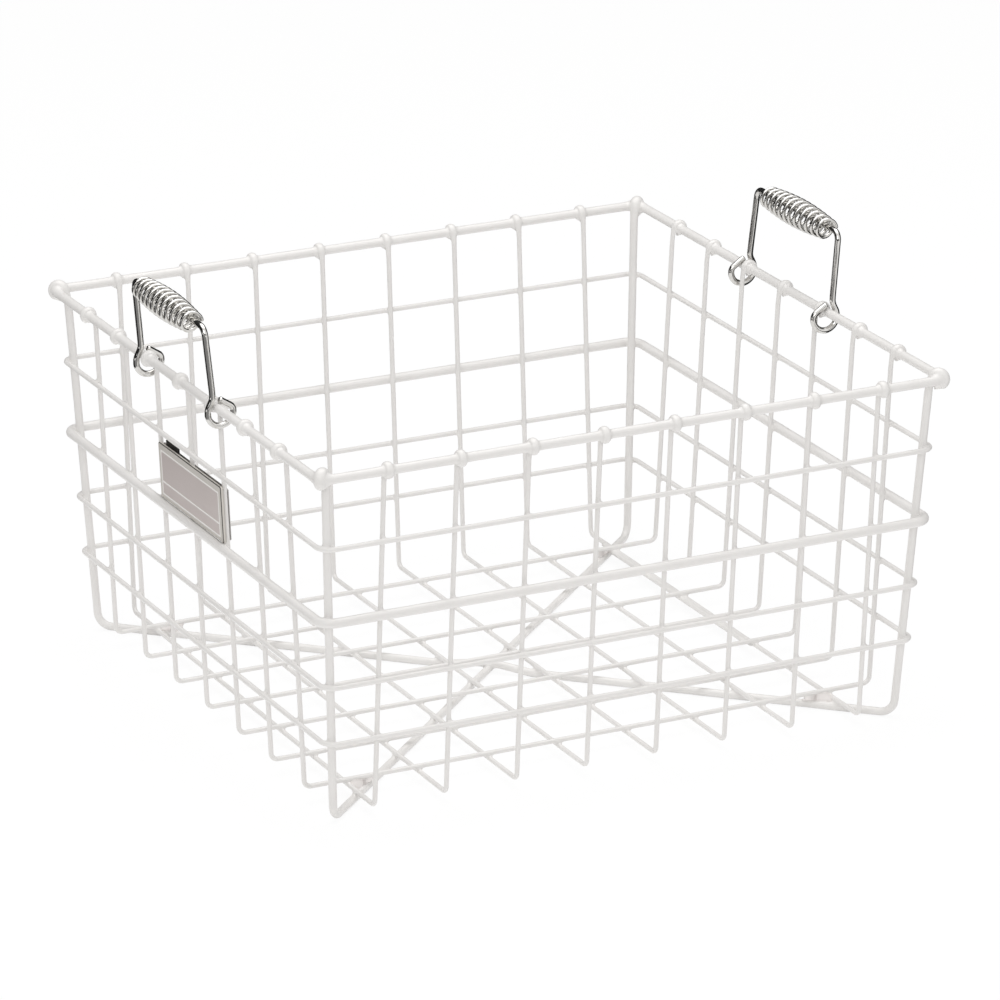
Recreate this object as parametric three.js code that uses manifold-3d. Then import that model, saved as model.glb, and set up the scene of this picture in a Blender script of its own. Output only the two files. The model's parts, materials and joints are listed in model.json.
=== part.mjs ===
// Tableware basket: plastic-coated steel wires welded into an open basket, two swinging bail
// handles with coil-spring grips, and a nameplate clamped on the left side.
// Millimetres, +Z up, X along the longer rim side, Y along the shorter one.
// The origin lies on the ground below the middle of the basket.

import * as THREE from 'three';
import { mergeVertices } from 'three/addons/utils/BufferGeometryUtils.js';
import Module from 'manifold-3d';

const wasm = await Module();
wasm.setup();

// Basket
const RIM_LENGTH = 460; // along X, between rim wire centres
const RIM_WIDTH = 440; // along Y, between rim wire centres
const RIM_HEIGHT = 247.5; // rim wire centre above the ground
const SHORT_SIDE_LEAN = 0.048; // outward run of the short sides for each unit of rise
const LONG_SIDE_LEAN = 0.068; // outward run of the long sides for each unit of rise

// Coated wire diameters
const RIM_WIRE = 6.4;
const CORNER_WIRE = 5.5;
const BASKET_WIRE = 3.3;
const RING_WIRE = 3.5;
const BELT_WIRE = 6.6;

// Wire pattern
const CROSS_WIRES = 8; // side by side along X, each a U from the front rim to the back rim
const CROSS_MARGIN = 48; // from the short rim sides to the first and last cross wire
const LONG_WIRES = 7; // side by side along Y, each a U from the left rim to the right rim
const LONG_MARGIN = 62.8; // from the long rim sides to the first and last long wire
const TOP_RING_DROP = 50; // wire centre below the rim wire centre
const BELT_DROP = 101.4; // wire centre below the rim wire centre
const THIRD_RING_HEIGHT = 99; // wire centre above the ground
const LOW_RING_HEIGHT = 58.5; // wire centre above the ground
const WELD_GAP = 0.2; // between wires that are welded to each other
const CORNER_INSET = 2.4; // corner wire centres inside those of the basket wires, along X and along Y

// Bends and ends of the basket wires
const FLOOR_BEND = 5; // centre line radius where a basket wire turns from wall to floor
const CORNER_BEND = 10.5; // the same on the corner wires
const HOOK_THICKNESS = 2.4; // basket wire end, pressed flat where it curls over the rim
const HOOK_WIDTH = 4.6;
const CAP_THICKNESS = 4.2; // corner wire end, where it curls over the rim
const CAP_WIDTH = 7;
const DOUBLER_LENGTH = 208; // short wire along the right-most cross wire, from the corner wire forward

// Bail handles
const BAIL_WIRE = 4.3;
const BAIL_PLAY = 4.7; // how far a bail can slide along the rim, between two hooked wires
const BAIL_BACK_PLAY = 1; // the share of it between the back eye and the hooked wire beside it
const LEG_SPLAY = 1.7; // how far an eye stands beyond the end of the cross bar
const BAR_HEIGHT = 56; // cross bar above the rim wire centre
const BAR_OUT = 8; // cross bar outside the rim wire centre
const BAIL_CORNER = 6; // bend between cross bar and leg
const NECK_HEIGHT = 6.6; // where the leg turns into the eye, above the rim wire centre
const NECK_OUT = 3.2;
const NECK_BEND = 11;
const EYE_GAP = 0.3; // between the eye and the rim wire it hangs on
const EYE_OUTER_REACH = 7; // eye centre line outside the rim wire centre
const EYE_INNER_REACH = 11.4; // eye centre line inside the rim wire centre
const EYE_SIDE = 2.9; // straight inner side of the eye, above its round bottom
const EYE_SHOULDER_DROP = 0.5; // where the inner side turns back to the leg, below the rim wire centre
const EYE_SHOULDER_BEND = 5;
const EYE_TAIL = 12.2; // from that shoulder to the cut end

// Coil grips
const COIL_WIRE = 2.6;
const COIL_TURNS = 12;
const COIL_SLACK = 17; // straight cross bar that the grip leaves free
const COIL_MIDDLE_DIAMETER = 21; // outside
const COIL_END_DIAMETER = 15.4; // outside
const COIL_GAP = 0.4; // between the cross bar and the end turns that hang on it
const COIL_SHIFT_LEFT = 3.5; // how far a grip lies behind the middle of its cross bar
const COIL_SHIFT_RIGHT = 0.05;

// Nameplate
const PLATE_OVERHANG = 0.6; // past the centres of the outer two of the three wires it covers
const PLATE_HEADROOM = 6; // between the top edge of the front plate and the top ring wire
const PLATE_CORNER = 1.5;
const FRONT_PLATE = 2.2; // thickness
const FRONT_TRIM = 1.45; // how much shorter it is at each end than the back sheet
const FRONT_SHIFT = 3.45; // how far it lies in front of the middle of the back sheet
const BACK_PLATE = 0.8; // sheet thickness
const BACK_DROP = 3.2; // top edge of the back plate below that of the front plate
const PLATE_GAP = 0.3;
const STRIP_SHEET = 1;
const STRIP_WIDTH = 21;
const STRIP_OFFSET = 3.2; // behind the middle of the gap between two long wires
const STRIP_RISE = 3.2; // above the top edge of the front plate
const STRIP_DEPTH = 12; // below the top edge of the front plate

// Sides of the faceted wires. The rim and hook facets run parallel to each other.
const FINE_SIDES = 12;
const WIRE_SIDES = 8;
const COIL_SIDES = 5;
const COIL_STEPS = 8; // for each turn
const BEND_STEPS = 4;

const coat = { color: 0xeceae7, roughness: 0.32, metalness: 0 };
const stainless = { color: 0xb4b1ad, roughness: 0.24, metalness: 1 };
const blackened = { color: 0x24221f, roughness: 0.4, metalness: 0.6 };

const basket = new THREE.Group();

// Centre lines of the walls: half the distance between opposite basket wires at a height.
const rimSeat = RIM_WIRE / 2 + WELD_GAP + BASKET_WIRE / 2;
const wallX = (z) => RIM_LENGTH / 2 - rimSeat + SHORT_SIDE_LEAN * (z - RIM_HEIGHT);
const wallY = (z) => RIM_WIDTH / 2 - rimSeat + LONG_SIDE_LEAN * (z - RIM_HEIGHT);

const crossPitch = (RIM_LENGTH - 2 * CROSS_MARGIN) / (CROSS_WIRES - 1);
const longPitch = (RIM_WIDTH - 2 * LONG_MARGIN) / (LONG_WIRES - 1);
const crossAt = (i) => (i - (CROSS_WIRES - 1) / 2) * crossPitch;
const longAt = (i) => (i - (LONG_WIRES - 1) / 2) * longPitch;

// The floor, from the ground up: corner wires, cross wires, long wires.
const cornerFloor = CORNER_WIRE / 2;
const crossFloor = CORNER_WIRE + WELD_GAP + BASKET_WIRE / 2;
const longFloor = crossFloor + BASKET_WIRE + WELD_GAP;

const cornerX = (z) => wallX(z) - CORNER_INSET;
const cornerY = (z) => wallY(z) - CORNER_INSET;

const vec = (x, y, z) => new THREE.Vector3(x, y, z);
const round = (diameter) => (at) => ({ at, wide: diameter, thick: diameter });

function add(parent, name, geometry, finish) {
  const mesh = new THREE.Mesh(geometry, new THREE.MeshStandardMaterial(finish));
  mesh.name = name;
  parent.add(mesh);
}

/** The corners of a path, each with a radius replaced by the straight steps round its bend. */
function bent(corners) {
  const points = [];
  corners.forEach(({ at, radius, steps = BEND_STEPS }, i) => {
    if (!radius) {
      points.push(at);
      return;
    }
    const before = corners[(i + corners.length - 1) % corners.length].at;
    const after = corners[(i + 1) % corners.length].at;
    const inward = at.clone().sub(before).normalize();
    const outward = after.clone().sub(at).normalize();
    const turn = inward.angleTo(outward);
    const toCentre = outward.clone().sub(inward).normalize();
    const centre = at.clone().addScaledVector(toCentre, radius / Math.cos(turn / 2));
    const tangentPoint = at.clone().addScaledVector(inward, -radius * Math.tan(turn / 2));
    const start = tangentPoint.sub(centre).normalize();
    const reach = radius / Math.cos(turn / steps / 2);
    for (let k = 0; k < steps; k++) {
      const angle = ((k + 0.5) * turn) / steps;
      const point = centre.clone().addScaledVector(start, reach * Math.cos(angle));
      points.push(point.addScaledVector(inward, reach * Math.sin(angle)));
    }
  });
  return points;
}

/** A wire through stations, each an ellipse: wide along the side vector and thick across it.
 *  The side vector is held all along the wire, or carried round its bends from station to station. */
function wire(stations, sides, firstSide, { closed = false, carried = false } = {}) {
  const count = stations.length;
  const positions = [];
  let side = firstSide;
  const flat = Math.cos(Math.PI / sides);
  stations.forEach(({ at, wide, thick }, i) => {
    const before = stations[(i + count - 1) % count].at;
    const after = stations[(i + 1) % count].at;
    const tangent = vec(0, 0, 0);
    if (closed || i > 0) tangent.add(at.clone().sub(before).normalize());
    if (closed || i < count - 1) tangent.add(after.clone().sub(at).normalize());
    tangent.normalize();
    const from = carried ? side : firstSide;
    side = from.clone().addScaledVector(tangent, -from.dot(tangent)).normalize();
    const across = tangent.clone().cross(side);
    for (let k = 0; k < sides; k++) {
      const angle = ((k + 0.5) * 2 * Math.PI) / sides;
      const point = at.clone().addScaledVector(side, (wide / 2 / flat) * Math.cos(angle));
      point.addScaledVector(across, (thick / 2 / flat) * Math.sin(angle));
      positions.push(point.x, point.y, point.z);
    }
  });
  const index = [];
  const spans = closed ? count : count - 1;
  for (let i = 0; i < spans; i++) {
    const near = i * sides;
    const far = ((i + 1) % count) * sides;
    for (let k = 0; k < sides; k++) {
      const next = (k + 1) % sides;
      index.push(near + k, near + next, far + next, near + k, far + next, far + k);
    }
  }
  if (!closed) {
    const last = (count - 1) * sides;
    for (let k = 1; k < sides - 1; k++) {
      index.push(0, k + 1, k, last, last + k, last + k + 1);
    }
  }
  const geometry = new THREE.BufferGeometry();
  geometry.setAttribute('position', new THREE.Float32BufferAttribute(positions, 3));
  geometry.setIndex(index);
  geometry.computeVertexNormals();
  return geometry;
}

function toSolid(geometry) {
  const bare = geometry.clone();
  bare.deleteAttribute('normal');
  bare.deleteAttribute('uv');
  const merged = mergeVertices(bare, 1e-4);
  const vertProperties = new Float32Array(merged.attributes.position.array);
  const triVerts = new Uint32Array(merged.index.array);
  return new wasm.Manifold(new wasm.Mesh({ numProp: 3, vertProperties, triVerts }));
}

function toGeometry(solid) {
  const { vertProperties, triVerts } = solid.getMesh();
  const geometry = new THREE.BufferGeometry();
  geometry.setAttribute('position', new THREE.Float32BufferAttribute(vertProperties, 3));
  geometry.setIndex(Array.from(triVerts));
  geometry.computeVertexNormals();
  return geometry;
}

// Rim and ring wires: closed loops outside the wall, each bent so that it lies against the corner
// wires at the middle of its corners.

function loopWire({ halfX, halfY, z, diameter }, sides, grown = 0) {
  const touch = CORNER_WIRE / 2 + WELD_GAP + diameter / 2;
  const inset = halfX - cornerX(z);
  const radius = (inset - touch * Math.SQRT1_2) / (1 - Math.SQRT1_2);
  const corners = [
    vec(-halfX, -halfY, z),
    vec(halfX, -halfY, z),
    vec(halfX, halfY, z),
    vec(-halfX, halfY, z),
  ].map((at) => ({ at, radius }));
  return wire(bent(corners).map(round(diameter + 2 * grown)), sides, vec(0, 0, 1), { closed: true });
}

const rim = { halfX: RIM_LENGTH / 2, halfY: RIM_WIDTH / 2, z: RIM_HEIGHT, diameter: RIM_WIRE };

function ringWire(z, diameter) {
  const seat = BASKET_WIRE / 2 + WELD_GAP + diameter / 2;
  return loopWire({ halfX: wallX(z) + seat, halfY: wallY(z) + seat, z, diameter }, WIRE_SIDES);
}

// Basket wires: each a U whose two ends come up inside the rim and curl over it.

const hookStep = (2 * Math.PI) / FINE_SIDES;

/** The end of a basket wire in its own plane, from the cut end over the rim down to the wall. */
function hook(rimAt, wallAt) {
  const reach = (RIM_WIRE / 2 + WELD_GAP + HOOK_THICKNESS / 2) / Math.cos(hookStep / 2);
  const shoulder = RIM_HEIGHT - RIM_WIRE;
  const end = [];
  for (let k = -2.5; k <= 5.5; k++) {
    const s = rimAt + reach * Math.cos(k * hookStep);
    const z = RIM_HEIGHT + reach * Math.sin(k * hookStep);
    end.push({ s, z, wide: HOOK_WIDTH, thick: HOOK_THICKNESS });
  }
  return [...end, { s: wallAt(shoulder), z: shoulder, wide: BASKET_WIRE, thick: BASKET_WIRE }];
}

function basketWire(rimAt, wallAt, floor, place, normal) {
  const end = hook(rimAt, wallAt);
  const onSide = (sign) => ({ s, z, wide, thick }) => ({ at: place(sign * s, z), wide, thick });
  const shoulder = end[end.length - 1];
  const bends = bent([
    { at: place(shoulder.s, shoulder.z) },
    { at: place(wallAt(floor), floor), radius: FLOOR_BEND },
    { at: place(-wallAt(floor), floor), radius: FLOOR_BEND },
    { at: place(-shoulder.s, shoulder.z) },
  ]).slice(1, -1);
  const stations = [
    ...end.map(onSide(1)),
    ...bends.map(round(BASKET_WIRE)),
    ...end.map(onSide(-1)).reverse(),
  ];
  return wire(stations, WIRE_SIDES, normal);
}

// Corner wires: each runs down one corner, across the floor on the diagonal and up the far corner.
// They cross at the middle, where the upper one steps up and is seated in a notch of the lower one.

const lapRise = longFloor - BASKET_WIRE / 2 - WELD_GAP - CORNER_WIRE;
const lapFoot = crossPitch / 2 - BASKET_WIRE;
const lapTop = CORNER_WIRE;

function cornerPath(across, rise) {
  const top = RIM_HEIGHT + RIM_WIRE / 4;
  const floorPoint = (x, z) => vec(x, (across * x * cornerY(cornerFloor)) / cornerX(cornerFloor), z);
  const lap = rise ? [-lapFoot, -lapTop, lapTop, lapFoot] : [];
  const lapPoints = lap.map((x) => floorPoint(x, cornerFloor + (Math.abs(x) === lapTop ? rise : 0)));
  const path = bent([
    { at: vec(-cornerX(top), -across * cornerY(top), top) },
    { at: floorPoint(-cornerX(cornerFloor), cornerFloor), radius: CORNER_BEND, steps: BEND_STEPS + 1 },
    ...lapPoints.map((at) => ({ at })),
    { at: floorPoint(cornerX(cornerFloor), cornerFloor), radius: CORNER_BEND, steps: BEND_STEPS + 1 },
    { at: vec(cornerX(top), across * cornerY(top), top) },
  ]);
  const side = vec(-across * cornerY(cornerFloor), cornerX(cornerFloor), 0).normalize();
  return { path, side, lapPoints };
}

/** The end of a corner wire, curled over the outside of the rim at one corner. */
function cornerCap(signX, signY) {
  const reach = RIM_WIRE / 2 + WELD_GAP + CAP_THICKNESS;
  const outline = new THREE.Shape();
  outline.moveTo(0, 0);
  [-2.5, -2, -1, 0, 1, 2, 3, 4, 5, 6].forEach((steps) => {
    outline.lineTo(reach * Math.cos(steps * hookStep), reach * Math.sin(steps * hookStep));
  });
  const prism = new THREE.ExtrudeGeometry(outline, { depth: CAP_WIDTH, bevelEnabled: false });
  prism.translate(CORNER_WIRE / 2 + WELD_GAP + RIM_WIRE / 2, 0, -CAP_WIDTH / 2);
  prism.rotateX(Math.PI / 2);
  prism.rotateZ(Math.atan2(signY, signX));
  prism.translate(signX * cornerX(RIM_HEIGHT), signY * cornerY(RIM_HEIGHT), RIM_HEIGHT);
  return toSolid(prism).subtract(toSolid(loopWire(rim, FINE_SIDES, WELD_GAP)));
}

function cornerFrame(across, rise) {
  const { path, side } = cornerPath(across, rise);
  const body = toSolid(wire(path.map(round(CORNER_WIRE)), FINE_SIDES, side));
  return body.add(cornerCap(-1, -across)).add(cornerCap(1, across));
}

function lapNotch() {
  const { lapPoints, side } = cornerPath(-1, lapRise);
  return toSolid(wire(lapPoints.map(round(CORNER_WIRE + 2 * WELD_GAP)), FINE_SIDES, side));
}

// Bail handles: one bent wire each, from the cut end of one eye over the cross bar to the other.

const bailSeat = longPitch + HOOK_WIDTH / 2 + BAIL_WIRE / 2;
const bailSpan = 2 * bailSeat + BAIL_PLAY;
const bailMiddle = bailSeat + BAIL_BACK_PLAY - bailSpan / 2;
const barLength = bailSpan - 2 * LEG_SPLAY;

function bailHandle(sign) {
  const place = (out, y, up) => vec(sign * (RIM_LENGTH / 2 + out), y, RIM_HEIGHT + up);
  const eyeBend = (EYE_OUTER_REACH + EYE_INNER_REACH) / 2;
  const eyeDrop = EYE_SHOULDER_DROP + EYE_SIDE + eyeBend;
  const seat = RIM_WIRE / 2 + EYE_GAP + BAIL_WIRE / 2;
  const shoulderReach = Math.hypot(EYE_INNER_REACH, EYE_SHOULDER_DROP);
  const tailAngle = Math.atan2(EYE_SHOULDER_DROP, EYE_INNER_REACH) + Math.asin(seat / shoulderReach);
  const tailOut = -EYE_INNER_REACH + EYE_TAIL * Math.cos(tailAngle);
  const tailUp = -EYE_SHOULDER_DROP + EYE_TAIL * Math.sin(tailAngle);
  const half = (side) => {
    const y = bailMiddle + (side * bailSpan) / 2;
    const barEnd = bailMiddle + (side * barLength) / 2;
    return [
      { at: place(tailOut, y, tailUp) },
      { at: place(-EYE_INNER_REACH, y, -EYE_SHOULDER_DROP), radius: EYE_SHOULDER_BEND, steps: 2 },
      { at: place(-EYE_INNER_REACH, y, -eyeDrop), radius: eyeBend },
      { at: place(EYE_OUTER_REACH, y, -eyeDrop), radius: eyeBend },
      { at: place(EYE_OUTER_REACH, y, 0), radius: NECK_BEND, steps: 2 },
      { at: place(NECK_OUT, y, NECK_HEIGHT), radius: NECK_BEND, steps: 2 },
      { at: place(BAR_OUT, barEnd, BAR_HEIGHT), radius: BAIL_CORNER },
    ];
  };
  const path = bent([...half(1), ...half(-1).reverse()]);
  return wire(path.map(round(BAIL_WIRE)), WIRE_SIDES, vec(0, 1, 0), { carried: true });
}

// Coil grips: barrel-shaped springs that hang on the cross bars by their narrow end turns.

const coilLength = barLength - 2 * BAIL_CORNER - COIL_SLACK;
const coilCorner = COIL_WIRE / 2 / Math.cos(Math.PI / COIL_SIDES);
const coilBore = ((COIL_END_DIAMETER - COIL_WIRE) / 2 - coilCorner) * Math.cos(Math.PI / COIL_STEPS);
const coilSag = coilBore - BAIL_WIRE / 2 / Math.cos(Math.PI / WIRE_SIDES) - COIL_GAP;

function coilPoints(sign, shift) {
  const points = [];
  const steps = COIL_TURNS * COIL_STEPS;
  const endRadius = (COIL_END_DIAMETER - COIL_WIRE) / 2;
  const swell = (COIL_MIDDLE_DIAMETER - COIL_END_DIAMETER) / 2;
  for (let i = 0; i <= steps; i++) {
    const along = i / steps;
    const radius = endRadius + swell * Math.sin(Math.PI * along);
    const angle = (i * 2 * Math.PI) / COIL_STEPS;
    const x = sign * (RIM_LENGTH / 2 + BAR_OUT) + radius * Math.cos(angle);
    const y = bailMiddle + shift + (along - 0.5) * coilLength;
    const z = RIM_HEIGHT + BAR_HEIGHT - coilSag + radius * Math.sin(angle);
    points.push(vec(x, y, z));
  }
  return points;
}

/** The least clear distance between two turns of a coil, measured between its centre points. */
function leastTurnGap(points) {
  let least = Infinity;
  for (let i = 0; i < points.length; i++) {
    for (let j = i + COIL_STEPS / 2; j < points.length; j++) {
      least = Math.min(least, points[i].distanceTo(points[j]));
    }
  }
  return least - 2 * coilCorner;
}

// Nameplate: a front plate and a back sheet on either side of the wall wires, standing on the belt
// wire, with a flat strip behind the front plate whose top shows above it.

const plateBottom = RIM_HEIGHT - BELT_DROP + BELT_WIRE / 2 + PLATE_GAP;
const plateTop = RIM_HEIGHT - TOP_RING_DROP - RING_WIRE / 2 - PLATE_HEADROOM;
const plateMiddle = (plateBottom + plateTop) / 2;

function plate(thickness, drop, trim) {
  const halfY = longPitch + PLATE_OVERHANG - trim;
  const halfZ = (plateTop - plateBottom) / 2;
  const arcY = halfY - PLATE_CORNER;
  const arcZ = halfZ - PLATE_CORNER;
  const outline = new THREE.Shape();
  outline.absarc(arcY, arcZ - drop, PLATE_CORNER, 0, Math.PI / 2);
  outline.absarc(-arcY, arcZ - drop, PLATE_CORNER, Math.PI / 2, Math.PI);
  outline.absarc(-arcY, -arcZ, PLATE_CORNER, Math.PI, 1.5 * Math.PI);
  outline.absarc(arcY, -arcZ, PLATE_CORNER, 1.5 * Math.PI, 2 * Math.PI);
  const sheet = new THREE.ExtrudeGeometry(outline, {
    depth: thickness,
    bevelEnabled: false,
    curveSegments: 3,
  });
  sheet.translate(0, 0, -thickness / 2);
  sheet.rotateX(Math.PI / 2);
  sheet.rotateZ(Math.PI / 2);
  return sheet;
}

function strip() {
  const edge = (plateTop - plateBottom) / 2;
  const sheet = new THREE.BoxGeometry(STRIP_SHEET, STRIP_WIDTH, STRIP_RISE + STRIP_DEPTH);
  const out = (STRIP_SHEET - BASKET_WIRE) / 2;
  sheet.translate(out, longPitch / 2 + STRIP_OFFSET, edge + (STRIP_RISE - STRIP_DEPTH) / 2);
  return sheet;
}

// Assembly

add(basket, 'rim_wire', loopWire(rim, FINE_SIDES), coat);
add(basket, 'ring_wire_top', ringWire(RIM_HEIGHT - TOP_RING_DROP, RING_WIRE), coat);
add(basket, 'ring_wire_belt', ringWire(RIM_HEIGHT - BELT_DROP, BELT_WIRE), coat);
add(basket, 'ring_wire_third', ringWire(THIRD_RING_HEIGHT, RING_WIRE), coat);
add(basket, 'ring_wire_low', ringWire(LOW_RING_HEIGHT, RING_WIRE), coat);

for (let i = 0; i < LONG_WIRES; i++) {
  const place = (s, z) => vec(s, longAt(i), z);
  const geometry = basketWire(RIM_LENGTH / 2, wallX, longFloor, place, vec(0, 1, 0));
  add(basket, `long_wire_${i + 1}`, geometry, coat);
}
for (let i = 0; i < CROSS_WIRES; i++) {
  const place = (s, z) => vec(crossAt(i), s, z);
  const geometry = basketWire(RIM_WIDTH / 2, wallY, crossFloor, place, vec(1, 0, 0));
  add(basket, `cross_wire_${i + 1}`, geometry, coat);
}

const doublerX = crossAt(CROSS_WIRES - 1) - BASKET_WIRE - WELD_GAP;
const doublerBack = (doublerX * cornerY(cornerFloor)) / cornerX(cornerFloor);
const doublerEnds = [doublerBack - DOUBLER_LENGTH, doublerBack];
const doublerPath = doublerEnds.map((y) => vec(doublerX, y, crossFloor));
const doubler = wire(doublerPath.map(round(BASKET_WIRE)), WIRE_SIDES, vec(1, 0, 0));
add(basket, 'floor_doubler_wire', doubler, coat);

add(basket, 'corner_frame_lower', toGeometry(cornerFrame(1, 0).subtract(lapNotch())), coat);
add(basket, 'corner_frame_upper', toGeometry(cornerFrame(-1, lapRise)), coat);

const coils = [
  { side: 'left', sign: -1, shift: COIL_SHIFT_LEFT },
  { side: 'right', sign: 1, shift: COIL_SHIFT_RIGHT },
];
for (const { side, sign, shift } of coils) {
  add(basket, `bail_handle_${side}`, bailHandle(sign), stainless);
  const points = coilPoints(sign, shift);
  const coil = wire(points.map(round(COIL_WIRE)), COIL_SIDES, vec(0, 1, 0), { carried: true });
  add(basket, `coil_grip_${side}`, coil, stainless);
  console.log(`coil_grip_${side}: least gap between turns ${leastTurnGap(points).toFixed(2)} mm`);
}

const nameplate = new THREE.Group();
nameplate.position.set(-wallX(plateMiddle), 0, plateMiddle);
nameplate.rotation.y = -Math.atan(SHORT_SIDE_LEAN);
basket.add(nameplate);

const front = new THREE.Group();
front.position.set(-(BASKET_WIRE / 2 + PLATE_GAP + FRONT_PLATE / 2), -FRONT_SHIFT, 0);
const back = new THREE.Group();
back.position.x = BASKET_WIRE / 2 + PLATE_GAP + BACK_PLATE / 2;
nameplate.add(front, back);
add(front, 'nameplate_front', plate(FRONT_PLATE, 0, FRONT_TRIM), stainless);
add(back, 'nameplate_back', plate(BACK_PLATE, BACK_DROP, 0), stainless);
add(nameplate, 'nameplate_strip', strip(), blackened);

export default basket;
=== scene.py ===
"""Tableware basket: coated wires whose coats run together at the welds, bright bail handles with
coil grips, and a bare nameplate. Metres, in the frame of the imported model."""

import json
import math

import bpy
import numpy as np
from mathutils import Matrix, Vector


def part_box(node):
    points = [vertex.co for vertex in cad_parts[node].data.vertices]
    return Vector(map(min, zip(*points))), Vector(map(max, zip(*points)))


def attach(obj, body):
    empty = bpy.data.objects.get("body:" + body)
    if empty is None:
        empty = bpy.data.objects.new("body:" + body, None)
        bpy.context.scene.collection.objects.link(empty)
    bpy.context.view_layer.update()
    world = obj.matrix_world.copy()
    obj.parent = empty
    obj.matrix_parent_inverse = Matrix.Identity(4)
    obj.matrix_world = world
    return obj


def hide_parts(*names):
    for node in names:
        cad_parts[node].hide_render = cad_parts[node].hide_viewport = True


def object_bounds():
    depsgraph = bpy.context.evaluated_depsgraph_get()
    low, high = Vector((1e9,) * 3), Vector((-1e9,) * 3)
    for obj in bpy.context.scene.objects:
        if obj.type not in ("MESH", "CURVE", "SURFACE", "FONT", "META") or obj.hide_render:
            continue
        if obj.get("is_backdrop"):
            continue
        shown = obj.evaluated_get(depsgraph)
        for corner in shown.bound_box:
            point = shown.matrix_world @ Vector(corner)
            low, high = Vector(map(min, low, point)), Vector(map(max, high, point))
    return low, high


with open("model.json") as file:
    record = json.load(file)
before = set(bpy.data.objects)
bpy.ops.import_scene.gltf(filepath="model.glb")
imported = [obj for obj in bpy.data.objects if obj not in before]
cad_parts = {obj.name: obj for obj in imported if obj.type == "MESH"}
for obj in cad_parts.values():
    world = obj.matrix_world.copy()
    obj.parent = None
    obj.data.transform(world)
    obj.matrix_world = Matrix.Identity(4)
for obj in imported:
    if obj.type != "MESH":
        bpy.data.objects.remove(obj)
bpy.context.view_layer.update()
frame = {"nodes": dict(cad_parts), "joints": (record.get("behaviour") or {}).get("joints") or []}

# Sizes that the frame's boxes do not give
WELD_GAP = 0.0002
CORNER_WIRE = 0.0055
CORNER_INSET = 0.0024  # corner wire centres inside those of the basket wires
FLOOR_BEND = 0.005
CORNER_BEND = 0.0105
HOOK_WIDTH = 0.0044
HOOK_THICKNESS = 0.0024
CAP_WIDTH = 0.0063
CAP_THICKNESS = 0.0042
HOOK_POOL = 0.0006  # how much thicker the rim's coat is under a hook
HOOK_POOL_RUN = 0.0032
CAP_POOL = 0.0021  # and under a corner cap
CAP_POOL_RUN = 0.0046
HOOK_END = math.radians(-76)  # where the curled ends stop, below the outside of the rim
HOOK_START = math.radians(168)  # where they leave the rim on the inside
HOOK_NECK = 0.010  # below the rim's centre, where an upright turns into its curled end
NECK_RUN = 0.004  # straight upright below that
LAP_BEND = 0.012  # where the upper corner wire steps over the lower one
WEB = 0.0031  # how far two coats reach to run together at a weld
WEB_MOST = 0.0029  # most that a coat swells towards its neighbour
WEB_MARGIN = 1.5  # times WEB: how far off a weld is looked for
UNDERCUT = 0.3  # how steeply a coat dips under its neighbour beyond their seam
COAT_WAVE = 0.045  # length of the slow waves in a coat's thickness
COAT_SWELL = 0.018  # and their height, as a share of the radius
COAT_TIP = 0.05  # least radius of a coat's rounded end, as a share
FILM = 0.0011  # thickness of the coat that spans the small floor triangles
FILM_LIFT = 0.7 * FILM  # how far it lies above the wires' centres
FILM_DRAPE = 0.12  # the less, the closer its edges keep to the wires
WEB_REACH = 0.013  # length of the coat that follows two wires past their crossing
WEB_BACK = 0.003  # how much of that lies before the crossing
WEB_HOLLOW = 0.3  # how far its free edge is drawn in, as a share

BAIL_WIRE = 0.0043
BAR_HEIGHT = 0.056  # cross bar above the rim's centre
BAR_OUT = 0.008  # and outside it
BAIL_CORNER = 0.006
NECK_HEIGHT = 0.0066  # where a leg bends into its eye, above the rim's centre
NECK_OUT = 0.0032  # and outside it
NECK_BEND = 0.011
EYE_GAP = 0.0003  # between the rim and the cut end
EYE_OUTER_REACH = 0.007  # sides of the eye, from the rim's centre
EYE_INNER_REACH = 0.0114
EYE_SIDE = 0.0029  # straight side above its round bottom
EYE_SHOULDER_DROP = 0.0005  # shoulder before the cut end, below the rim's centre
EYE_SHOULDER_BEND = 0.005
EYE_TAIL = 0.0122  # from the shoulder to the cut end
LEG_SPLAY = 0.0017  # how much nearer to the middle a leg ends at the bar
CUT_ROUND = 0.0005  # length over which the cut ends of the steel wires are rounded
CUT_TIP = 0.7  # their least radius, as a share

COIL_WIRE = 0.0026
COIL_TURNS = 12
COIL_MIDDLE_DIAMETER = 0.021
COIL_END_DIAMETER = 0.0154

FRONT_PLATE = 0.0022
BACK_PLATE = 0.0008
PLATE_CORNER = 0.0015
FRONT_BREAK = 0.0005  # broken edges of the front plate
EDGE_BREAK = 0.0002  # and of the other sheets
FRAME_LINE = 0.0011  # width of the raised lines on the front plate
FRAME_RAISE = 0.00015
FRAME_SIDE_MARGIN = 0.0038
FRAME_HEAD_MARGIN = 0.0046
FRAME_FOOT_MARGIN = 0.0032
DIVIDER_SHARE = 0.68  # where the divider lies, from the top edge down
STRIP_SHEET = 0.001
STRIP_CORNER = 0.0005

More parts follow.
